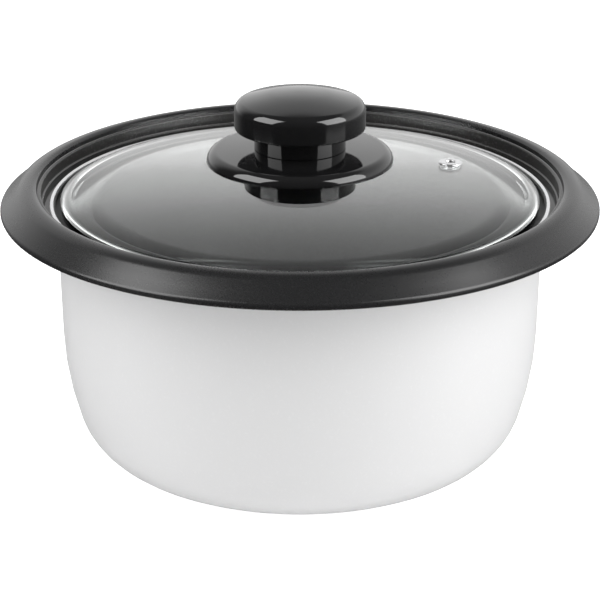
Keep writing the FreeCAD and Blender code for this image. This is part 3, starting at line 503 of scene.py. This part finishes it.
# Solid finishes of the record slots: a colour, or its name among the cooker's finishes, then
# roughness, its variation, grain scale, grain depth, speckle, and metallic and coat if any
GRAINED = {
    "housing_paint": ("paint", 0.42, 0.08, 900.0, 0.004, 0.02, 0.15),
    "brim_black": ("brim", 0.28, 0.06, 1300.0, 0.008, 0.006),
    "pot_coating": ("coating", 0.34, 0.12, 1100.0, 0.02, 0.05),
    "pot_outside": ((0.45, 0.45, 0.46), 0.38, 0.15, 700.0, 0.02, 0.05, 1.0),
    "plain_steel": ((0.50, 0.51, 0.52), 0.32, 0.25, 500.0, 0.01, 0.08, 1.0),
    "aluminium": ((0.62, 0.63, 0.64), 0.36, 0.3, 420.0, 0.012, 0.08, 1.0),
    "brass": ((0.60, 0.42, 0.16), 0.28, 0.2, 600.0, 0.01, 0.06, 1.0),
    "seal_rubber": ((0.02, 0.02, 0.02), 0.55, 0.15, 800.0, 0.02, 0.02),
    "foot_rubber": ((0.022, 0.022, 0.023), 0.7, 0.15, 600.0, 0.04, 0.03),
    "gasket_rubber": ((0.62, 0.62, 0.60), 0.5, 0.1, 500.0, 0.02, 0.05),
    "pod_plastic": ((0.014, 0.014, 0.0145), 0.46, 0.12, 1400.0, 0.05, 0.03),
    "pointer_white": ((0.80, 0.80, 0.78), 0.45, 0.1, 900.0, 0.01, 0.03),
    "lens_amber": ((0.80, 0.30, 0.03), 0.12, 0.08, 300.0, 0.01, 0.03, 0.0, 0.6),
    "lamp_glass": ((0.80, 0.45, 0.22), 0.15, 0.05, 300.0, 0.01, 0.03),
    "mica": ((0.42, 0.34, 0.22), 0.45, 0.2, 160.0, 0.03, 0.1),
    "winding": ((0.25, 0.21, 0.18), 0.4, 0.2, 350.0, 0.02, 0.05, 1.0),
    "blanket": ((0.78, 0.78, 0.74), 0.95, 0.05, 240.0, 0.6, 0.1),
    "switch_plastic": ((0.60, 0.58, 0.52), 0.5, 0.1, 700.0, 0.02, 0.04),
    "terminal_plastic": ((0.74, 0.70, 0.58), 0.5, 0.1, 700.0, 0.02, 0.04),
    "wire_brown": ((0.10, 0.045, 0.02), 0.45, 0.1, 500.0, 0.01, 0.02),
    "wire_blue": ((0.02, 0.05, 0.30), 0.45, 0.1, 500.0, 0.01, 0.02),
    "wire_white": ((0.72, 0.72, 0.70), 0.45, 0.1, 500.0, 0.01, 0.04),
    "wire_red": ((0.36, 0.02, 0.015), 0.45, 0.1, 500.0, 0.01, 0.02),
}
# Finishes of the record slots that are made another way
MAKERS = {"lid_glass": clear_glass, "polished_steel": polished_steel, "knob_gloss": gloss_black}
MATERIALS = {}


def material(name):
    """The finished material of a record slot, made once."""
    if name not in MATERIALS:
        if name in GRAINED:
            base, *rest = GRAINED[name]
            if isinstance(base, str):
                base = getattr(finishes(), base)
            MATERIALS[name] = grained(name, base, *rest)
        else:
            MATERIALS[name] = MAKERS[name]()
    return MATERIALS[name]


# ---------------------------------------------------------------- pieces

class CookerOperator:
    """Settings that all of the cooker's operators share"""

    bl_options = {"REGISTER", "UNDO"}


class COOKER_OT_housing(CookerOperator, bpy.types.Operator):
    """Model the pressed steel bowl of the body"""

    bl_idname = "cooker.housing"
    bl_label = "Body Housing"

    def execute(self, context):
        wall = 0.8 * MM
        hole = 44.0 * MM
        hole_round = 0.3 * MM
        flat = 64.6 * MM
        low_bend = 27.4 * MM
        high_bend = 123.0 * MM
        switch = math.radians(72.3)
        draft = math.radians(1.3)
        base = HOUSING_LOW.z
        top = HOUSING_HIGH.z
        low_up = base + low_bend
        high_across = flat - (high_bend - low_bend) * math.sin(switch)
        high_up = low_up + (high_bend - low_bend) * math.cos(switch)

        def side(depth):
            low = low_bend - depth
            high = high_bend - depth
            bend = (flat + low * math.sin(switch), low_up - low * math.cos(switch))
            wall_foot = (high_across + high * math.cos(draft), high_up - high * math.sin(draft))
            wall_top = (wall_foot[0] + math.tan(draft) * (top - wall_foot[1]), top)
            return low, high, (flat, base + depth), bend, wall_foot, wall_top

        low, high, foot, bend, wall_foot, wall_top = side(0.0)
        low_in, high_in, foot_in, bend_in, wall_foot_in, wall_top_in = side(wall)
        piece = turned("housing_bowl", [
            (hole, base, ROUND, hole_round),
            (*foot, LEFT, low),
            (*bend, LEFT, high),
            wall_foot,
            wall_top,
            wall_top_in,
            (*wall_foot_in, RIGHT, high_in),
            (*bend_in, RIGHT, low_in),
            foot_in,
            (hole, base + wall),
        ])
        dress(piece, "cooker", "housing_paint", [material("housing_paint")], "outer_housing")
        return {"FINISHED"}


class COOKER_OT_brim(CookerOperator, bpy.types.Operator):
    """Model the black collar with its drooping brim and beaded lip"""

    bl_idname = "cooker.brim"
    bl_label = "Brim"

    def execute(self, context):
        size = sizes()
        lip = lip_level()
        bead = 1.8 * MM
        bead_across = size.brim_radius - bead
        crest = 107.7 * MM
        crest_round = 8.0 * MM
        inner_round = 3.5 * MM
        brim_angle = math.radians(40.5)
        bore = size.collar_bore
        wall = 2.4 * MM
        shelf_bore = 90.5 * MM
        shelf_top = lip - 1.4 * MM
        shelf_low = lip - 4.0 * MM
        shelf_round = 0.4 * MM
        sleeve = 97.8 * MM
        sleeve_low = RING_LOW.z
        web = crest + 3.1 * MM
        web_up = lip + 6.0 * MM
        slope_round = 40.0 * MM
        crest_up = lip + size.crest_height
        inner_up = crest_up - inner_round + math.sqrt(inner_round ** 2 - (crest - bore) ** 2)
        start = math.radians(200)
        finish = math.radians(50)
        piece = turned("brim_ring", [
            (shelf_bore, shelf_low, ROUND, shelf_round),
            (sleeve, shelf_low),
            (sleeve, sleeve_low, ROUND, shelf_round),
            (sleeve + wall, sleeve_low, ROUND, 0.8 * MM),
            (bore + wall, lip - wall, ROUND, 1.5 * MM),
            (bore + wall, web_up, ROUND, 1.2 * MM),
            (web, web_up),
            (bead_across + bead * math.cos(start), lip + bead + bead * math.sin(start),
             LEFT, bead),
            (bead_across, lip, LEFT, bead),
            (size.brim_radius, lip + bead, LEFT, bead),
            (bead_across + bead * math.cos(finish), lip + bead + bead * math.sin(finish),
             RIGHT, slope_round),
            (crest + crest_round * math.sin(brim_angle),
             crest_up - crest_round + crest_round * math.cos(brim_angle), LEFT, crest_round),
            (crest, crest_up, LEFT, inner_round),
            (bore, inner_up),
            (bore, shelf_top, ROUND, 0.5 * MM),
            (shelf_bore, shelf_top, ROUND, shelf_round),
        ])
        dress(piece, "cooker", "brim_black", [material("brim_black")], "rim_collar",
              "support_ring")
        return {"FINISHED"}


class COOKER_OT_pot(CookerOperator, bpy.types.Operator):
    """Model the removable pot: coated inside and over its rim, bare outside"""

    bl_idname = "cooker.pot"
    bl_label = "Cooking Pot"

    def execute(self, context):
        size = sizes()
        lip = lip_level()
        wall = 2.0 * MM
        floor = 3.0 * MM
        corner = 16.0 * MM
        bottom = POT_LOW.z
        radius = size.pot_radius
        inner = radius - wall
        inner_corner = corner - floor
        rim = size.pot_rim_radius
        bead = 0.8 * MM
        rim_up = POT_HIGH.z
        rim_inner = rim - 2 * bead
        seat = 102.9 * MM
        seat_up = lip + 0.4 * MM
        ledge_up = lip + 3.9 * MM
        under = lip - 1.4 * MM
        under_round = 0.5 * MM
        neck = 3.0 * MM
        seat_round = 0.8 * MM
        ledge_round = 0.6 * MM
        piece = turned("pot_bowl", [
            (0.0, bottom),
            (radius - corner, bottom, LEFT, corner),
            (radius, bottom + corner),
            (radius, under - neck, RIGHT, neck),
            (radius + neck, under),
            (rim - 1.4 * MM, under, ROUND, under_round),
            (rim, lip, ROUND, under_round),
            (rim, rim_up - bead, LEFT, bead),
            (rim - bead, rim_up, LEFT, bead),
            (rim_inner, rim_up - bead),
            (rim_inner, ledge_up + ledge_round, RIGHT, ledge_round),
            (rim_inner - ledge_round, ledge_up),
            (seat, ledge_up - 0.1 * MM, ROUND, 0.15 * MM),
            (seat, seat_up + seat_round, RIGHT, seat_round),
            (seat - seat_round, seat_up),
            (inner + neck, seat_up, LEFT, neck),
            (inner, seat_up - neck),
            (inner, bottom + floor + inner_corner, RIGHT, inner_corner),
            (inner - inner_corner, bottom + floor),
            (0.0, bottom + floor),
        ], closed=False)
        dress(piece, "pot", "pot_coating", [material("pot_coating"), material("pot_outside")],
              "cooking_pot")
        for face in piece.data.polygons:
            middle = face.center
            across = math.hypot(middle.x, middle.y)
            outward = face.normal.x * middle.x + face.normal.y * middle.y
            outside = across > radius - corner and outward > 0 and middle.z < under - neck
            if outside or middle.z < bottom + 0.5 * MM:
                face.material_index = 1
        return {"FINISHED"}


class COOKER_OT_lid_glass(CookerOperator, bpy.types.Operator):
    """Model the lid's domed glass with its rounded shoulder and vent hole"""

    bl_idname = "cooker.lid_glass"
    bl_label = "Lid Glass"

    def execute(self, context):
        hole = 3.2 * MM
        low = lip_level() + 1.2 * MM
        low_edge = 90.0 * MM
        step = 94.0 * MM
        shoulder = 92.5 * MM
        shoulder_drop = 1.31 * MM
        shoulder_round = 6.0 * MM
        edge = sizes().glass_radius - 2.0 * MM
        under = GLASS_DOME - GLASS_THICK
        piece = turned("glass_disc", [
            (hole, glass_height(hole, under), RIGHT, under),
            (low_edge, glass_height(low_edge, under)),
            (step, low),
            (edge, low, ROUND, 0.4 * MM),
            (edge, glass_height(shoulder) - shoulder_drop, LEFT, shoulder_round),
            (shoulder, glass_height(shoulder), LEFT, GLASS_DOME),
            (hole, glass_height(hole)),
        ])
        dress(piece, "lid", "lid_glass", [material("lid_glass")], "lid_glass")
        return {"FINISHED"}


class COOKER_OT_lid_band(CookerOperator, bpy.types.Operator):
    """Model the rolled steel band that runs round the glass"""

    bl_idname = "cooker.lid_band"
    bl_label = "Lid Band"

    def execute(self, context):
        wall = 0.7 * MM
        bead = 0.8 * MM
        low = BAND_LOW.z
        bead_up = BAND_HIGH.z - bead
        lip_in = 0.4 * MM
        outer = sizes().band_radius
        piece = turned("steel_band", [
            (outer - wall, low),
            (outer, low, ROUND, 0.2 * MM),
            (outer, bead_up, LEFT, bead),
            (outer - bead, BAND_HIGH.z, LEFT, bead),
            (outer - 2 * bead, bead_up),
            (outer - 2 * bead + 0.2 * MM, bead_up - lip_in, ROUND, 0.1 * MM),
            (outer - wall, bead_up - lip_in),
        ])
        dress(piece, "lid", "polished_steel", [material("polished_steel")], "lid_band")
        return {"FINISHED"}


class COOKER_OT_vent(CookerOperator, bpy.types.Operator):
    """Model the steel eyelet of the steam vent, leaning with the glass"""

    bl_idname = "cooker.vent"
    bl_label = "Vent Eyelet"

    def execute(self, context):
        hole = 2.0 * MM
        tube = 2.8 * MM
        flange = 5.0 * MM
        flange_low = 0.05 * MM
        flange_top = 0.95 * MM
        flange_round = 0.7 * MM
        clinch = flange - 0.8 * MM
        clinch_top = -GLASS_THICK - 0.1 * MM
        clinch_low = -GLASS_THICK - 0.9 * MM
        clinch_round = 0.3 * MM
        piece = turned("vent_eyelet", [
            (hole, clinch_low, ROUND, 0.2 * MM),
            (clinch, clinch_low, ROUND, clinch_round),
            (clinch, clinch_top, ROUND, clinch_round),
            (tube, clinch_top),
            (tube, flange_low),
            (flange, flange_low, ROUND, 0.1 * MM),
            (flange, flange_top, ROUND, flange_round),
            (hole, flange_top, ROUND, flange_round),
        ], facets=48)
        middle = (VENT_LOW + VENT_HIGH) / 2
        across = math.hypot(middle.x, middle.y)
        edit_all(piece)
        turn_about("Y", -math.asin(across / GLASS_DOME))
        turn_about("Z", -math.atan2(middle.y, middle.x))
        bpy.ops.transform.translate(value=(middle.x, middle.y, glass_height(across)))
        close_edit()
        dress(piece, "lid", "polished_steel", [material("polished_steel")], "vent_grommet")
        return {"FINISHED"}


class COOKER_OT_knob(CookerOperator, bpy.types.Operator):
    """Model the knob: the finger guard with its boss, and the cap with its neck"""

    bl_idname = "cooker.knob"
    bl_label = "Lid Knob"

    def execute(self, context):
        size = sizes()
        lip = lip_level()
        self.model_guard(size, lip)
        self.model_grip(size, lip)
        return {"FINISHED"}

    def model_guard(self, size, lip):
        seat = lip + 7.75 * MM
        floor = seat + 0.8 * MM
        low = GUARD_HIGH.z - 5.5 * MM
        edge = 0.3 * MM
        rim_round = 4.3 * MM
        dome = 430.0 * MM
        step = lip + 13.6 * MM
        boss_low = 22.4 * MM
        boss = 23.85 * MM
        bore = 2.3 * MM
        recess = 18.3 * MM
        land = recess + 0.2 * MM
        guard = size.guard_radius
        piece = turned("finger_guard", [
            (bore, floor),
            (recess, floor),
            (recess, seat, ROUND, 0.3 * MM),
            (boss_low, seat, ROUND, 0.5 * MM),
            (boss_low, step - 0.4 * MM, ROUND, 0.3 * MM),
            (boss, step, ROUND, 0.3 * MM),
            (boss, low, ROUND, 0.8 * MM),
            (guard - edge, low, LEFT, edge),
            (guard, low + edge, LEFT, rim_round),
            (guard - rim_round, low + edge + rim_round, LEFT, dome),
            (land, GUARD_HIGH.z),
            (bore, GUARD_HIGH.z),
        ], crease=40.0)
        dress(piece, "lid", "knob_gloss", [material("knob_gloss")], "knob_guard")

    def model_grip(self, size, lip):
        foot = GRIP_LOW.z
        low = lip + 32.5 * MM
        top = GRIP_HIGH.z
        cap = size.cap_radius
        neck = 18.3 * MM
        throat = 0.8 * MM
        insert = 4.0 * MM
        insert_top = foot + 11.0 * MM
        edge = 0.8 * MM
        corner = 4.1 * MM
        dome = 78.5 * MM
        across = cap - corner
        rise = math.sqrt((dome - corner) ** 2 - across ** 2)
        share = dome / (dome - corner)
        centre = top - dome
        piece = turned("knob_cap", [
            (insert, foot),
            (neck, foot, ROUND, 0.3 * MM),
            (neck, low - throat, RIGHT, throat),
            (neck + throat, low),
            (cap - edge, low, LEFT, edge),
            (cap, low + edge),
            (cap, centre + rise, LEFT, corner),
            (across * share, centre + rise * share, LEFT, dome),
            (0.0, top),
            (0.0, insert_top),
            (insert, insert_top),
        ])
        dress(piece, "lid", "knob_gloss", [material("knob_gloss")], "knob_grip")


class COOKER_OT_dial(CookerOperator, bpy.types.Operator):
    """Model the fluted selector dial with its line, and the marks round it"""

    bl_idname = "cooker.dial"
    bl_label = "Selector Dial"

    def execute(self, context):
        size = sizes()
        hub = (DIAL_LOW + DIAL_HIGH) / 2
        front = DIAL_HIGH.y
        proud = 0.2 * MM
        self.model_dial(size, Vector((hub.x, front, hub.z)), front - DIAL_LOW.y)
        self.model_line(size, Vector((hub.x, front + proud, hub.z)))
        self.model_marks(size, Vector((hub.x, POD_HIGH.y, hub.z)))
        return {"FINISHED"}

    def model_dial(self, size, middle, depth):
        radius = size.dial_radius
        groove = 1.0 * MM
        skirt = 1.6 * MM
        shoulder = 1.6 * MM
        dish = 0.6 * MM
        hole = 3.2 * MM
        hole_end = -2.4 * MM
        flutes = 24
        flute_share = 0.55
        flute_pinch = 0.95
        piece = turned("dial_fluted", [
            (hole, -depth),
            (radius, -depth, ROUND, 0.3 * MM),
            (radius, -depth + skirt, ROUND, 0.3 * MM),
            (radius - groove, -depth + skirt),
            (radius - groove, -shoulder, LEFT, shoulder),
            (radius - groove - shoulder, 0.0),
            (radius - 4.6 * MM, 0.0, ROUND, 0.3 * MM),
            (radius - 5.2 * MM, -dish, ROUND, 0.3 * MM),
            (0.0, -dish),
            (0.0, hole_end),
            (hole, hole_end),
        ], facets=flutes * 6, crease=25.0)
        edit_all(piece)
        bpy.ops.mesh.select_all(action="DESELECT")
        bpy.ops.object.mode_set(mode="OBJECT")
        for vertex in piece.data.vertices:
            x, y, z = vertex.co
            around = math.atan2(y, x) * flutes / math.tau
            side = math.hypot(x, y) > radius - groove - 0.9 * MM
            fluted = -depth + 1.7 * MM < z < -0.4 * MM
            vertex.select = side and fluted and around % 1.0 < flute_share
        bpy.ops.object.mode_set(mode="EDIT")
        bpy.ops.transform.resize(value=(flute_pinch, flute_pinch, 1.0),
                                 center_override=(0, 0, 0))
        close_edit()
        self.face_back(piece, middle)
        dress(piece, "selector", "pod_plastic", [material("pod_plastic")], "selector_knob")

    def model_line(self, size, middle):
        """Moulded line that shows which way the dial points."""
        reach = size.dial_radius * 0.62
        away = size.dial_radius * 0.46
        deep = 0.4 * MM
        pick_nothing()
        bpy.ops.mesh.primitive_cube_add(size=MM)
        line = bpy.context.object
        line.name = "dial_line"
        edit_all(line)
        bpy.ops.transform.resize(value=(1.5, reach / MM, 2 * deep / MM))
        bpy.ops.mesh.bevel(offset=0.25 * MM, segments=3, affect="EDGES")
        bpy.ops.transform.translate(value=(0.0, -away, -deep))
        finish_mesh(40.0)
        self.face_back(line, middle)
        dress(line, "selector", "pointer_white", [material("pointer_white")],
              "selector_pointer")

    def model_marks(self, size, middle):
        """Raised marks that lie just on the pod's face."""
        thick = 0.15 * MM
        pick_nothing()
        bpy.ops.mesh.primitive_cube_add(size=MM)
        marks = bpy.context.object
        marks.name = "dial_marks"
        edit_all(marks)
        bpy.ops.transform.resize(value=(0.7, 2.0, 2 * thick / MM))
        bpy.ops.transform.translate(value=(0.0, -size.dial_radius - 2.0 * MM, 0.0))
        close_edit()
        for angle in DIAL_ANGLES:
            pick(marks)
            bpy.ops.object.duplicate()
            edit_all(bpy.context.object)
            turn_about("Z", math.radians(angle))
            close_edit()
        pick_nothing()
        for item in bpy.data.objects:
            item.select_set(item.name.startswith("dial_marks"))
        bpy.context.view_layer.objects.active = marks
        bpy.ops.object.join()
        self.face_back(marks, middle)
        dress(marks, "cooker", "pointer_white", [material("pointer_white")])

    def face_back(self, piece, middle):
        """Turn a piece that was modelled facing up so that it faces +Y."""
        edit_all(piece)
        turn_about("X", math.pi / 2)
        bpy.ops.transform.translate(value=middle)
        close_edit()


class COOKER_OT_frame_finishes(CookerOperator, bpy.types.Operator):
    """Give every frame node that stays in sight the finish of its record slot"""

    bl_idname = "cooker.frame_finishes"
    bl_label = "Frame Finishes"

    def execute(self, context):
        slots = {row["node"]: row["material_slot"] for row in frame["record"]["subparts"]}
        for name, piece in frame["nodes"].items():
            finish = material(slots[name])
            if not piece.material_slots:
                raise RuntimeError(name + " has no material slot")
            for slot in piece.material_slots:
                slot.material = finish
        return {"FINISHED"}


# ---------------------------------------------------------------- stage

class COOKER_OT_stage(CookerOperator, bpy.types.Operator):
    """Set up the pale floor, the soft studio light and the camera"""

    bl_idname = "cooker.stage"
    bl_label = "Studio Stage"

    def execute(self, context):
        self.lay_floor()
        self.light_world()
        self.hang_softboxes()
        self.set_camera()
        context.scene.view_settings.view_transform = "Standard"
        return {"FINISHED"}

    def lay_floor(self):
        pick_nothing()
        bpy.ops.mesh.primitive_plane_add(size=12.0, location=(0, 0, 0))
        floor = bpy.context.object
        floor.name = "studio_floor"
        paper = grained("floor_paper", finishes().floor, 0.8, 0.05, 60.0, 0.02, 0.01,
                        specular=0.2)
        nodes, links = paper.node_tree.nodes, paper.node_tree.links
        shader = nodes["Principled BSDF"]
        shader.inputs["Emission Color"].default_value = (1.0, 1.0, 1.0, 1.0)
        shader.inputs["Emission Strength"].default_value = FLOOR_GLOW
        # gloss on the cooker mirrors a dark polished table instead of the white paper
        table = nodes.new("ShaderNodeBsdfPrincipled")
        table.inputs["Base Color"].default_value = (0.02, 0.02, 0.02, 1.0)
        table.inputs["Roughness"].default_value = 0.2
        table.inputs["Specular IOR Level"].default_value = 0.2
        path = nodes.new("ShaderNodeLightPath")
        add_switch(nodes, links, path.outputs["Is Glossy Ray"], shader.outputs["BSDF"],
                   table.outputs["BSDF"], nodes["Material Output"].inputs["Surface"])
        floor.data.materials.append(paper)

    def light_world(self):
        """Bright low backdrop behind, dim above, and plain white to the camera."""
        world = bpy.data.worlds.new("studio")
        bpy.context.scene.world = world
        world.use_nodes = True
        nodes, links = world.node_tree.nodes, world.node_tree.links
        nodes.clear()
        output = nodes.new("ShaderNodeOutputWorld")
        place = nodes.new("ShaderNodeTexCoord")
        apart = nodes.new("ShaderNodeSeparateXYZ")
        links.new(place.outputs["Generated"], apart.inputs["Vector"])
        sight = nodes.new("ShaderNodeLightPath")

        def levels(stops):
            ramp = nodes.new("ShaderNodeFloatCurve")
            curve = ramp.mapping.curves[0]
            for number, (up, level) in enumerate(stops):
                if number < 2:
                    curve.points[number].location = (up, level)
                else:
                    curve.points.new(up, level)
            ramp.mapping.update()
            links.new(apart.outputs["Z"], ramp.inputs["Value"])
            return ramp.outputs["Value"]

        def blend(share, low, high):
            mix = nodes.new("ShaderNodeMix")
            links.new(share, mix.inputs["Factor"])
            links.new(low, mix.inputs["A"])
            links.new(high, mix.inputs["B"])
            return mix.outputs["Result"]

        towards = nodes.new("ShaderNodeMath")
        towards.operation = "MULTIPLY_ADD"
        links.new(apart.outputs["X"], towards.inputs[0])
        towards.inputs[1].default_value = BRIGHT_SIDE
        links.new(apart.outputs["Y"], towards.inputs[2])
        behind = add_range(nodes, links, towards.outputs["Value"], (-BRIGHT_FADE, BRIGHT_FADE))
        behind.interpolation_type = "SMOOTHSTEP"
        back = blend(sight.outputs["Is Singular Ray"], levels(BACK_STOPS), levels(GLASS_STOPS))
        level = blend(behind.outputs["Result"], levels(FRONT_STOPS), back)
        scaled = nodes.new("ShaderNodeMath")
        scaled.operation = "MULTIPLY"
        scaled.inputs[1].default_value = WORLD_PEAK
        links.new(level, scaled.inputs[0])
        lit = nodes.new("ShaderNodeBackground")
        links.new(scaled.outputs["Value"], lit.inputs["Strength"])
        seen = nodes.new("ShaderNodeBackground")
        seen.inputs["Strength"].default_value = 1.0
        seen.inputs["Color"].default_value = (1.0, 1.0, 1.0, 1.0)
        add_switch(nodes, links, sight.outputs["Is Camera Ray"], lit.outputs["Background"],
                   seen.outputs["Background"], output.inputs["Surface"])

    def hang_softboxes(self):
        """Large soft lights that hang to the left and to the right in front."""
        for name, place, width, power in SOFTBOXES:
            pick_nothing()
            bpy.ops.object.light_add(type="AREA", location=place)
            lamp = bpy.context.object
            lamp.name = name
            lamp.data.shape = "RECTANGLE"
            lamp.data.size = width[0]
            lamp.data.size_y = width[1]
            lamp.data.energy = power
            aim = LIT_POINT - Vector(place)
            lamp.rotation_euler = aim.to_track_quat("-Z", "Y").to_euler()

    def set_camera(self):
        """Camera in front, a little above, that looks at the middle of the cooker."""
        drop = 41.02 * MM
        pitch = math.radians(20.893)
        away = 1.0524
        target = Vector((0.0, 0.0, lip_level() - drop))
        place = target + Vector((0.0, -math.cos(pitch), math.sin(pitch))) * away
        pick_nothing()
        bpy.ops.object.camera_add(location=place)
        camera = bpy.context.object
        camera.rotation_euler = (math.pi / 2 - pitch, 0.0, 0.0)
        camera.data.lens = 154.6
        camera.data.sensor_width = 36.0
        bpy.context.scene.camera = camera


class COOKER_OT_mirroring(CookerOperator, bpy.types.Operator):
    """Choose what the lid's glass mirrors: the studio, and not the pieces beside it"""

    bl_idname = "cooker.mirroring"
    bl_label = "Glass Mirroring"

    def execute(self, context):
        for name in UNMIRRORED:
            bpy.data.objects[name].visible_glossy = False
        for name in HIDDEN_IN_KNOB:
            core = frame["nodes"][name]
            core.visible_glossy = False
            core.visible_transmission = False
        return {"FINISHED"}


class COOKER_PT_panel(bpy.types.Panel):
    """Panel that lists the cooker's pieces"""

    bl_idname = "COOKER_PT_panel"
    bl_label = "Slow Cooker"
    bl_space_type = "VIEW_3D"
    bl_region_type = "UI"
    bl_category = "Slow Cooker"

    def draw(self, context):
        column = self.layout.column()
        for operator in OPERATORS:
            column.operator(operator.bl_idname)


OPERATORS = (
    COOKER_OT_stage,
    COOKER_OT_frame_finishes,
    COOKER_OT_housing,
    COOKER_OT_brim,
    COOKER_OT_pot,
    COOKER_OT_lid_glass,
    COOKER_OT_lid_band,
    COOKER_OT_vent,
    COOKER_OT_knob,
    COOKER_OT_dial,
    COOKER_OT_mirroring,
)
CLASSES = (CookerSizes, CookerFinishes, *OPERATORS, COOKER_PT_panel)


def register():
    for item in CLASSES:
        bpy.utils.register_class(item)
    bpy.types.Scene.cooker_sizes = PointerProperty(type=CookerSizes)
    bpy.types.Scene.cooker_finishes = PointerProperty(type=CookerFinishes)


def unregister():
    del bpy.types.Scene.cooker_finishes
    del bpy.types.Scene.cooker_sizes
    for item in reversed(CLASSES):
        bpy.utils.unregister_class(item)


def main():
    register()
    for operator in OPERATORS:
        section, name = operator.bl_idname.split(".")
        getattr(getattr(bpy.ops, section), name)()


if __name__ == "__main__":
    main()
